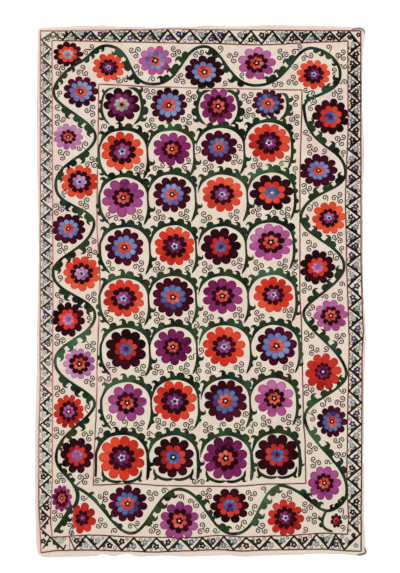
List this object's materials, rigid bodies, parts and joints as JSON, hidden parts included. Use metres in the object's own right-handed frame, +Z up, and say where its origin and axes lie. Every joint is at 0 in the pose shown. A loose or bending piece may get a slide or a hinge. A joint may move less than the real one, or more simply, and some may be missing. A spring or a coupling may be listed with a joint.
{
  "type": "suzani embroidered textile",
  "caption": "Large hand-embroidered cotton cloth of sewn panels, with flower rosettes in a leafy lattice inside a vine border and a zigzag guard band, lying flat.",
  "frame": {"origin": "middle of the cloth's box, on the surface that it lies on", "axes": "+X across the cloth to its right, +Y along its length towards its top edge, +Z up, out of the embroidered face"},
  "size_m": [1.596, 2.5709, 0.002],
  "materials": {
    "cotton_ground": "matt hand-woven cotton, with couched silk embroidery"
  },
  "bodies": {
    "root": {"panel_left": "cotton_ground", "panel_middle": "cotton_ground", "panel_right": "cotton_ground"}
  },
  "joints": []
}
